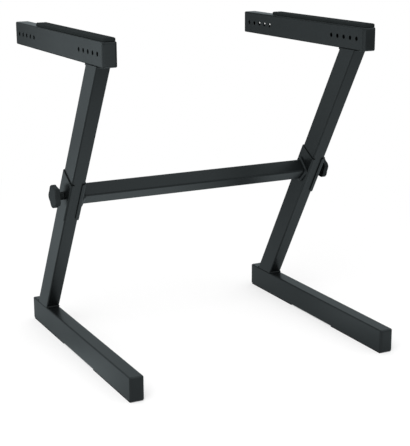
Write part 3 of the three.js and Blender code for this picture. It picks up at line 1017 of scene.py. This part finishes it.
class STAND_OT_pads_and_strips(StandOperator, bpy.types.Operator):
    """Ribbed rubber pads on the arms and rubber strips under the feet"""

    bl_idname = "stand.pads_and_strips"
    bl_label = "Pads and strips"

    def execute(self, context):
        pads = context.scene.stand_pads
        drop = context.scene.stand_tubes.foot_drop
        rubber = finish("black_rubber")
        ribs = rib_tree()
        for side in SIDES:
            node = f"{side}_arm_pad"
            pad = self.pad(node, pads, rubber, ribs)
            settle(pad, FRAME_BODY, "black_rubber", node)
            for end, way in ENDS.items():
                node = f"{side}_{end}_ground_strip"
                strip = self.strip(node, way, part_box(f"{side}_foot_{end}_cap"), drop, pads, rubber)
                settle(strip, FRAME_BODY, "black_rubber", node)
        return {"FINISHED"}

    @staticmethod
    def strip(node, way, cap_box, drop, pads, rubber):
        """A strip under a foot, from just behind the cap's face inward."""
        low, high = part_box(node)
        high.z -= drop
        centre = (low + high) / 2
        cap_low, cap_high = cap_box
        edge = pads.strip_rounding
        part = edge * EDGE_SHARE
        outer = cap_low.y + pads.strip_inset if way < 0 else cap_high.y - pads.strip_inset
        inner = high.y if way < 0 else low.y
        spans = ((outer, edge), (outer - way * part, part), (outer - way * edge, 0.0))
        spans += ((inner + way * edge, 0.0), (inner + way * part, part), (inner, edge))
        rings = []
        for y, inset in spans:
            points = rounded_rectangle(pads.strip_width - 2 * inset, high.z - low.z - inset, edge, steps=4)
            rings.append(along_y(points, centre.x, y, centre.z + inset / 2))
        return loft(f"{node}_rubber", rings, rubber)

    @staticmethod
    def pad(node, pads, rubber, ribs):
        """A pad with rounded upper edges, drawn in at its ends, with ribs along its top."""
        low, high, centre = box_of(node)
        half = (high.x - low.x) / 2
        top = high.z - low.z + pads.rise - pads.rib_height
        inner = half - pads.rounding
        points = outline([
            (half - PAD_FOOT, PAD_FOOT, PAD_FOOT, -QUARTER, 0.0, EDGE_STEPS),
            (inner, top - pads.rounding, pads.rounding, 0.0, QUARTER, BEND_STEPS),
            (-inner, top - pads.rounding, pads.rounding, QUARTER, 2 * QUARTER, BEND_STEPS),
            (PAD_FOOT - half, PAD_FOOT, PAD_FOOT, 2 * QUARTER, 3 * QUARTER, EDGE_STEPS),
        ], ease=PAD_EASE)
        spans = [(low.y + PAD_END * along, share) for along, share in PAD_END_SHARES]
        spans += [(low.y + high.y - y, share) for y, share in reversed(spans)]
        rise = low.z + top / 2
        rings = [
            [Vector((centre.x + p.x * share, y, rise + (p.y - top / 2) * share)) for p in points]
            for y, share in spans
        ]
        pad = loft(f"{node}_rubber", rings, rubber)
        run_tree(pad, ribs, rubber, {
            "Count": pads.rib_count,
            "Pitch": (2 * inner - pads.rib_width) / (pads.rib_count - 1),
            "Width": pads.rib_width,
            "Height": pads.rib_height,
            "Length": high.y - low.y - 4 * PAD_END,
            "Start": (centre.x - inner + pads.rib_width / 2, low.y + 2 * PAD_END, low.z + top),
        })
        return pad


class STAND_OT_clamps(StandOperator, bpy.types.Operator):
    """Clamp halves bent from sheet round the legs"""

    bl_idname = "stand.clamps"
    bl_label = "Clamps"

    def execute(self, context):
        tubes = context.scene.stand_tubes
        clamps = context.scene.stand_clamps
        for side, outward in SIDES.items():
            for half, way in (("outer", outward), ("inner", -outward)):
                node = f"{side}_clamp_{half}_half"
                body = f"{side}_clamp" if half == "outer" else FRAME_BODY
                piece = self.channel(node, way, clamps)
                along_leg = Matrix.Translation(leg_middle(side)) @ Matrix.Rotation(tubes.lean, 4, "X")
                place(piece, along_leg)
                low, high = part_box(node)
                bore(piece, leg_middle(side), tubes.bolt_hole, 4 * (high.x - low.x))
                settle(piece, body, "powder_coat", node)
        return {"FINISHED"}

    def channel(self, node, way, clamps):
        """A clamp half along Z, with its side plate on the +X or -X side of the origin."""
        low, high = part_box(node)
        reach = abs(middle(node).x - leg_middle(node.split("_")[0]).x)
        face = reach + (high.x - low.x) / 2
        free = reach - (high.x - low.x) / 2
        half = clamps.length / 2
        stations = self.stations(-half, clamps.bottom_corner, clamps.edge, 1)
        stations += reversed(self.stations(half, clamps.top_corner, clamps.edge, -1))
        rings = [
            [Vector((way * p.x, p.y, z)) for p in self.loop(face, free + retreat, inset, clamps)]
            for z, retreat, inset in stations
        ]
        return loft(f"{node}_sheet", rings, finish("powder_coat"))

    @staticmethod
    def stations(end, corner, edge, way):
        """Heights from an end inward, with the flange's retreat and the cut edge's rounding at each."""
        made = []
        for i in range(BEND_STEPS + 1):
            turn = QUARTER * i / BEND_STEPS
            rise = corner * (1 - math.cos(turn))
            retreat = corner * (1 - math.sin(turn))
            short = max(0.0, 1 - rise / edge)
            inset = edge * (1 - math.sqrt(max(0.0, 1 - short * short)))
            made.append((end + way * rise, retreat, inset))
        return made

    @staticmethod
    def loop(face, free, inset, clamps):
        """Section of the bent sheet, from the front flange's free edge round to the rear one's and back."""
        sheet, bend = clamps.sheet - 2 * inset, clamps.bend + inset
        foot_low, foot_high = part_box("left_foot_tube")
        half_depth = (foot_high.z - foot_low.z) / 2 + FIT_GAP + clamps.sheet - inset
        outer = bend + sheet
        x = face - inset - outer
        y = half_depth - outer
        tip = min(clamps.edge, sheet * TIP_SHARE)
        tip_x = free + inset + tip
        front, back = (2 * QUARTER, 3 * QUARTER, EDGE_STEPS), (QUARTER, 2 * QUARTER, EDGE_STEPS)
        return outline([
            (tip_x, tip - half_depth, tip, *front),
            (x, -y, outer, -QUARTER, 0.0, BEND_STEPS),
            (x, y, outer, 0.0, QUARTER, BEND_STEPS),
            (tip_x, half_depth - tip, tip, *back),
            (tip_x, half_depth - sheet + tip, tip, *front),
            (x, y, bend, QUARTER, 0.0, BEND_STEPS),
            (x, -y, bend, 0.0, -QUARTER, BEND_STEPS),
            (tip_x, sheet - half_depth - tip, tip, *back),
        ], ease=SHEET_EASE)


# Radii of a knob's bends and edges, and the steps of its round forms
BORE_EDGE = 0.0004
KNOB_EDGE = 0.0008
ROOT_BEND = 0.0015
ROOF_BEND = 0.0012
RIM_EDGE = 0.0005
TAPER_DROP = 0.006
ROUNDED_SHARE = 0.93
DOME_STEPS = 8
POINTS_A_LOBE = 24


class STAND_OT_knobs(StandOperator, bpy.types.Operator):
    """Lobed hand knobs with their stems"""

    bl_idname = "stand.knobs"
    bl_label = "Knobs"

    def execute(self, context):
        knobs = context.scene.stand_knobs
        tree = knob_tree()
        plastic = finish("black_plastic")
        for side, outward in SIDES.items():
            node = f"{side}_knob_head"
            knob = self.turned(f"{node}_moulding", knobs, plastic)
            roof = knobs.stem_height + knobs.head - knobs.dome - knobs.shell
            run_tree(knob, tree, plastic, {
                "Lobes": knobs.lobes,
                "Depth": knobs.lobe_depth,
                "Turn": getattr(knobs, f"{side}_turn"),
                "Inner": knobs.stem / 2 + knobs.taper,
                "Outer": knobs.diameter / 2 - 2 * knobs.shell,
                "Rib length": knobs.diameter / 2 - knobs.lobe_depth - knobs.shell / 2,
                "Rib thickness": knobs.rib,
                "Rib height": roof - knobs.stem_height,
                "Rib place": (roof + knobs.stem_height + knobs.shell) / 2 - knobs.rib / 4,
            })
            low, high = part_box(node)
            seat = low.x if outward > 0 else high.x
            centre = leg_middle(side)
            outward_axis = Matrix.Rotation(outward * QUARTER, 4, "Y")
            place(knob, Matrix.Translation((seat - outward * FIT_GAP, centre.y, centre.z)) @ outward_axis)
            soften(knob)
            settle(knob, f"{side}_knob", "black_plastic", node)
        return {"FINISHED"}

    @staticmethod
    def turned(name, knobs, material):
        """The knob before its lobes are drawn in: a profile turned round Z, from the bore to the top."""
        profile = knob_profile(knobs)
        count = POINTS_A_LOBE * knobs.lobes
        points = [Vector((0.0, 0.0, profile[0][1]))]
        for reach, height in profile[1:-1]:
            for i in range(count):
                turn = 2 * math.pi * i / count
                points.append(Vector((reach * math.cos(turn), reach * math.sin(turn), height)))
        points.append(Vector((0.0, 0.0, profile[-1][1])))
        faces = []
        last = len(points) - 1
        for i in range(count):
            after = (i + 1) % count
            faces.append((0, 1 + after, 1 + i))
            for level in range(len(profile) - 3):
                low = 1 + level * count
                faces.append((low + i, low + after, low + count + after, low + count + i))
            faces.append((last, last - count + i, last - count + after))
        return new_piece(name, points, faces, material)


def knob_profile(knobs):
    """Radius and height of a turned knob's points, from the bore round the stem and head to the top."""
    radius = knobs.diameter / 2
    rim = knobs.stem_height
    edge_top = rim + knobs.head - knobs.dome
    roof = edge_top - knobs.shell
    bore_radius = knobs.bore / 2
    stem = knobs.stem / 2
    wall = radius - knobs.shell
    bore_start = FIT_GAP + BORE_EDGE
    root = stem + knobs.taper + ROOT_BEND
    profile = [(0.0, knobs.bore_depth), (bore_radius, knobs.bore_depth), (bore_radius, bore_start)]
    profile += bend_points(bore_radius + BORE_EDGE, bore_start, BORE_EDGE, 2, 3, steps=3)
    profile += bend_points(stem - KNOB_EDGE, FIT_GAP + KNOB_EDGE, KNOB_EDGE, 3, 4, steps=4)
    profile += [(stem + knobs.taper / 2, (rim + roof) / 2 - TAPER_DROP)]
    profile += bend_points(root, roof - ROOT_BEND, ROOT_BEND, 2, 1, steps=5)
    profile += bend_points(wall - ROOF_BEND, roof - ROOF_BEND, ROOF_BEND, 1, 0, steps=4)
    profile += bend_points(wall + RIM_EDGE, rim + RIM_EDGE, RIM_EDGE, 2, 3, steps=3)
    profile += bend_points(radius - KNOB_EDGE, rim + KNOB_EDGE, KNOB_EDGE, 3, 4, steps=4)
    inner = radius - knobs.rounding
    profile += bend_points(inner, edge_top - knobs.rounding, knobs.rounding, 0, ROUNDED_SHARE, steps=9)
    start = profile[-1][1]
    for i in range(1, DOME_STEPS):
        share = i / DOME_STEPS
        height = start + (edge_top + knobs.dome - start) * (1 - (1 - share) ** 2)
        profile.append((inner * (1 - share), height))
    profile.append((0.0, edge_top + knobs.dome))
    return profile


def bend_points(x, y, radius, first, last, steps):
    """Points of an arc in a profile, as pairs. Its first and last angle are in quarter turns."""
    turns = [QUARTER * (first + (last - first) * i / steps) for i in range(steps + 1)]
    return [(x + radius * math.cos(turn), y + radius * math.sin(turn)) for turn in turns]


class STAND_OT_fasteners(StandOperator, bpy.types.Operator):
    """Zinc finish of the bolts and nuts"""

    bl_idname = "stand.fasteners"
    bl_label = "Fasteners"

    def execute(self, context):
        for side in SIDES:
            for part in ("knob_bolt", "clamp_nut"):
                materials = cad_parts[f"{side}_{part}"].data.materials
                materials.clear()
                materials.append(finish("zinc_steel"))
        return {"FINISHED"}


# Stage

WHITE = (1.0, 1.0, 1.0, 1.0)
SENSOR_WIDTH = 36.0

# The floor's painted light and shade in the stand's gloss, in metres: from where to where a painted light
# fades
LEFT_PAINTED_LIGHT = (-0.25, 0.12)
LEFT_PAINTED_LIGHT_SLANT = 0.49
RIGHT_PAINTED_LIGHT = (-0.38, -0.31)
RIGHT_PAINTED_LIGHT_SHARE = 0.55

# Pools on the floor: x and y of the centre, then from where to where they fade. The middle and near pools
# paint light into the floor's tone in the stand's gloss; the shadow pool is where the lamps' own shadow is
# kept
MIDDLE_PAINTED_POOL = (-0.06, -0.09, 0.20, 0.35)
NEAR_PAINTED_POOL = (0.0, 0.0, 0.6, 2.0)
SHADOW_POOL = (0.0, 0.0, 0.7, 1.8)

# The surroundings in the stand's gloss, by the upward part of a direction: pairs of place and brightness
SKY_BAND = ((0.0, 0.54), (0.14, 0.52), (0.30, 0.46), (0.42, 0.5), (0.75, 0.97), (1.0, 1.0))
LOW_SKY = (0.35, 0.7)
SIDE_BLEND = 0.2


def flat_face(name, corners):
    """A stage object of one flat face."""
    mesh = bpy.data.meshes.new(name)
    mesh.from_pydata([tuple(corner) for corner in corners], [], [(0, 1, 2, 3)])
    return linked(name, mesh)


def ray_kinds(tree):
    """Wires that are 1 on camera rays, on glossy rays and on transmission rays."""
    camera_ray = tree.node("ShaderNodeLightPath", output="Is Camera Ray")
    return camera_ray, tree.other(camera_ray, "Is Glossy Ray"), tree.other(camera_ray, "Is Transmission Ray")


def fade(tree, value, start, end, before=1.0, after=0.0):
    """One level up to the start and another from the end on, softly."""
    return tree.node("ShaderNodeMapRange", {"interpolation_type": "SMOOTHSTEP"}, {
        "Value": value, "From Min": start, "From Max": end, "To Min": before, "To Max": after,
    })


class STAND_OT_stage(StandOperator, bpy.types.Operator):
    """Pale floor, soft light and the camera"""

    bl_idname = "stand.stage"
    bl_label = "Stage"

    def execute(self, context):
        stage = context.scene.stand_stage
        context.scene.view_settings.view_transform = "Standard"
        self.floor(stage)
        self.world(stage)
        self.key_lamp(stage)
        self.card(stage)
        self.camera(stage)
        return {"FINISHED"}

    @staticmethod
    def floor(stage):
        reach = stage.floor_reach
        corners = ((-reach, -reach), (reach, -reach), (reach, reach), (-reach, reach))
        floor = flat_face("floor", [(x, y, -stage.floor_depth) for x, y in corners])
        material, tree, spot = finish_tree("floor")
        camera_ray, glossy_ray, through_ray = ray_kinds(tree)
        x = tree.node("ShaderNodeSeparateXYZ", inputs={"Vector": spot}, output="X")
        y = tree.other(x, "Y")

        def pool(centre_x, centre_y, start, end):
            """A round pool on the floor, 1 inside and 0 outside: painted light in the stand's gloss, or where
            the lamps' shadow is kept.
            """
            across, along = x - centre_x, y - centre_y
            return fade(tree, tree.maths("SQRT", across * across + along * along), start, end)

        # Painted light and shade: the floor's tone in the stand's gloss is a middle tone near the stand,
        # lighter to the right and in a small pool in the middle, and farther out bright to the left and dim
        # behind
        left_painted_light = fade(tree, x + y * LEFT_PAINTED_LIGHT_SLANT, *LEFT_PAINTED_LIGHT)
        right_painted_light = fade(tree, 0.0 - x, *RIGHT_PAINTED_LIGHT) * RIGHT_PAINTED_LIGHT_SHARE
        far_tone = stage.dim + (stage.bright - stage.dim) * left_painted_light
        beside = tree.maths("MAXIMUM", right_painted_light, pool(*MIDDLE_PAINTED_POOL))
        near_tone = stage.near_tone + (1.0 - stage.near_tone) * beside
        gloss = far_tone + (near_tone - far_tone) * pool(*NEAR_PAINTED_POOL)
        white = tree.maths("MAXIMUM", camera_ray, through_ray)
        seen = tree.maths("MAXIMUM", white, glossy_ray)
        tone = white + (1.0 - white) * gloss
        hue = colour_mix(tree, white, (*stage.cast, 1.0), WHITE)
        pale = tree.node("ShaderNodeVectorMath", {"operation": "SCALE"}, {0: hue, "Scale": tone})
        shade = colour_mix(tree, seen, (*stage.floor, 1.0), pale)
        lamp_lit = tree.node("ShaderNodeBsdfDiffuse", inputs={"Color": shade})
        even = tree.node("ShaderNodeEmission", inputs={"Color": shade})
        near = pool(*SHADOW_POOL) * stage.shadow
        shader = tree.node("ShaderNodeMixShader", inputs={"Fac": seen * (1.0 - near), 1: lamp_lit, 2: even})
        tree.node("ShaderNodeOutputMaterial", inputs={"Surface": shader})
        floor.data.materials.append(material)

    @staticmethod
    def world(stage):
        world = bpy.data.worlds.new("studio")
        bpy.context.scene.world = world
        world.use_nodes = True
        tree = Tree(world.node_tree)
        direction = tree.node("ShaderNodeTexCoord", output="Generated")
        height = tree.node("ShaderNodeSeparateXYZ", inputs={"Vector": direction}, output="Z")
        across = tree.other(height, "X")
        band = tree.node("ShaderNodeValToRGB", {"stops": SKY_BAND}, {"Fac": height})
        left_side = fade(tree, across, -SIDE_BLEND, SIDE_BLEND, stage.left_horizon, 1.0)
        low_down = fade(tree, height, *LOW_SKY)
        band = band * (1.0 - low_down * (1.0 - left_side))
        camera_ray, glossy_ray, through_ray = ray_kinds(tree)
        seen = tree.maths("MAXIMUM", camera_ray, through_ray)
        even = stage.level + (1.0 - stage.level) * seen
        strength = even + glossy_ray * (band - even)
        hue = colour_mix(tree, glossy_ray, WHITE, (*stage.cast, 1.0))
        shader = tree.node("ShaderNodeBackground", inputs={"Color": hue, "Strength": strength})
        tree.node("ShaderNodeOutputWorld", inputs={"Surface": shader})

    @staticmethod
    def key_lamp(stage):
        lamp = bpy.data.lights.new("key", "AREA")
        lamp.shape = "DISK"
        lamp.size = stage.key_size
        lamp.energy = stage.key
        key = linked("key", lamp)
        key.location = stage.key_place
        aim = Vector(stage.key_aim) - key.location
        key.rotation_euler = aim.to_track_quat("-Z", "Y").to_euler()
        key.visible_glossy = False

    @staticmethod
    def card(stage):
        """A white card to the left, seen only in the stand's gloss."""
        half = stage.card_side / 2
        turn = Matrix.Translation(stage.card_place) @ Matrix.Rotation(stage.card_turn, 4, "Z")
        corners = ((-half, -half), (half, -half), (half, half), (-half, half))
        card = flat_face("card", [turn @ Vector((x, 0.0, z)) for x, z in corners])
        material, tree = material_tree("card")
        glow = tree.node("ShaderNodeEmission", inputs={
            "Color": (*stage.cast, 1.0), "Strength": stage.card_light,
        })
        tree.node("ShaderNodeOutputMaterial", inputs={"Surface": glow})
        card.data.materials.append(material)
        card.visible_camera = False
        card.visible_diffuse = False
        card.visible_transmission = False
        card.visible_shadow = False

    @staticmethod
    def camera(stage):
        data = bpy.data.cameras.new("camera")
        data.sensor_fit = "HORIZONTAL"
        data.sensor_width = SENSOR_WIDTH
        data.lens = stage.lens
        data.shift_x, data.shift_y = stage.shift
        camera = linked("camera", data)
        yaw, pitch, roll = stage.camera_yaw, stage.camera_pitch, stage.camera_roll
        ahead = Vector((
            math.sin(yaw) * math.cos(pitch), math.cos(yaw) * math.cos(pitch), -math.sin(pitch),
        ))
        right = Vector((math.cos(yaw), -math.sin(yaw), 0.0))
        up = right.cross(ahead)
        turned_right = right * math.cos(roll) - up * math.sin(roll)
        turned_up = turned_right.cross(ahead)
        axes = Matrix((turned_right, turned_up, -ahead)).transposed()
        camera.matrix_world = Matrix.Translation(stage.camera_place) @ axes.to_4x4()
        bpy.context.scene.camera = camera


OPERATORS = (
    STAND_OT_feet_and_arms,
    STAND_OT_legs,
    STAND_OT_crossbar,
    STAND_OT_welds,
    STAND_OT_end_caps,
    STAND_OT_pads_and_strips,
    STAND_OT_clamps,
    STAND_OT_knobs,
    STAND_OT_fasteners,
    STAND_OT_stage,
)


class STAND_PT_looks(bpy.types.Panel):
    """Lists the stand's operators"""

    bl_idname = "STAND_PT_looks"
    bl_label = "Stand looks"
    bl_space_type = "VIEW_3D"
    bl_region_type = "UI"
    bl_category = "Stand"

    def draw(self, context):
        for operator in OPERATORS:
            self.layout.operator(operator.bl_idname)


def register():
    for group in GROUPS.values():
        bpy.utils.register_class(group)
    for name, group in GROUPS.items():
        setattr(bpy.types.Scene, name, bpy.props.PointerProperty(type=group))
    for operator in OPERATORS:
        bpy.utils.register_class(operator)
    bpy.utils.register_class(STAND_PT_looks)


def unregister():
    bpy.utils.unregister_class(STAND_PT_looks)
    for operator in reversed(OPERATORS):
        bpy.utils.unregister_class(operator)
    for name in GROUPS:
        delattr(bpy.types.Scene, name)
    for group in reversed(GROUPS.values()):
        bpy.utils.unregister_class(group)


def main():
    register()
    for operator in OPERATORS:
        group, name = operator.bl_idname.split(".")
        getattr(getattr(bpy.ops, group), name)()


if __name__ == "__main__":
    main()
